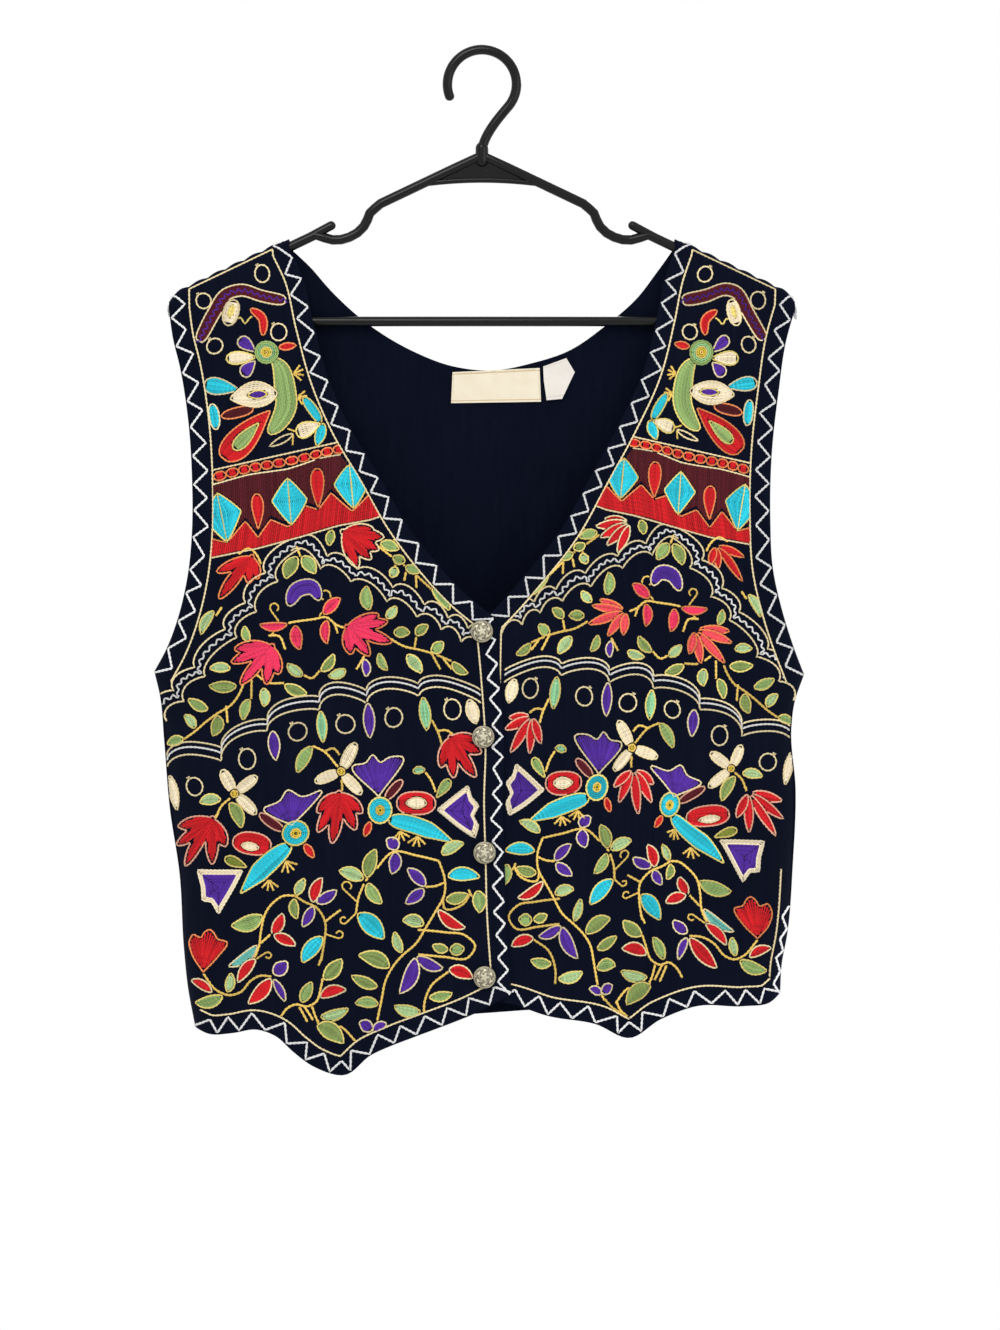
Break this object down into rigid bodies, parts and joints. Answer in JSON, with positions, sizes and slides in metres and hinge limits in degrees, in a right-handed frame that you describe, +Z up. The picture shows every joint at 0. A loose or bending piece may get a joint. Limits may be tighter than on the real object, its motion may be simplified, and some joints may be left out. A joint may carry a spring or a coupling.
{
  "type": "embroidered vest top on a hanger",
  "caption": "Sleeveless V-necked vest top, cut straight with a pointed front hem, buttoned at the centre and hung on a notched tubular hanger.",
  "frame": {"origin": "inside top of the hanger's hook, where a rail or rod carries it", "axes": "+Z up; +X to the right of someone facing the garment's front; +Y from the front to the back; the hanger lies in y = 0"},
  "size_m": [0.462, 0.0795, 0.7283],
  "materials": {
    "navy_cotton": "matt woven cotton with chain-stitch embroidery",
    "aged_silver": "antique silver with dark recesses",
    "cream_label": "woven satin label",
    "black_plastic": "semi-gloss moulded plastic"
  },
  "bodies": {
    "root": {"front_right": "navy_cotton", "front_left": "navy_cotton", "back": "navy_cotton", "button_1": "aged_silver", "button_2": "aged_silver", "button_3": "aged_silver", "button_4": "aged_silver", "neck_label": "cream_label", "size_tag": "cream_label", "hanger_yoke": "black_plastic", "hanger_bar": "black_plastic", "hanger_hook": "black_plastic"}
  },
  "joints": []
}
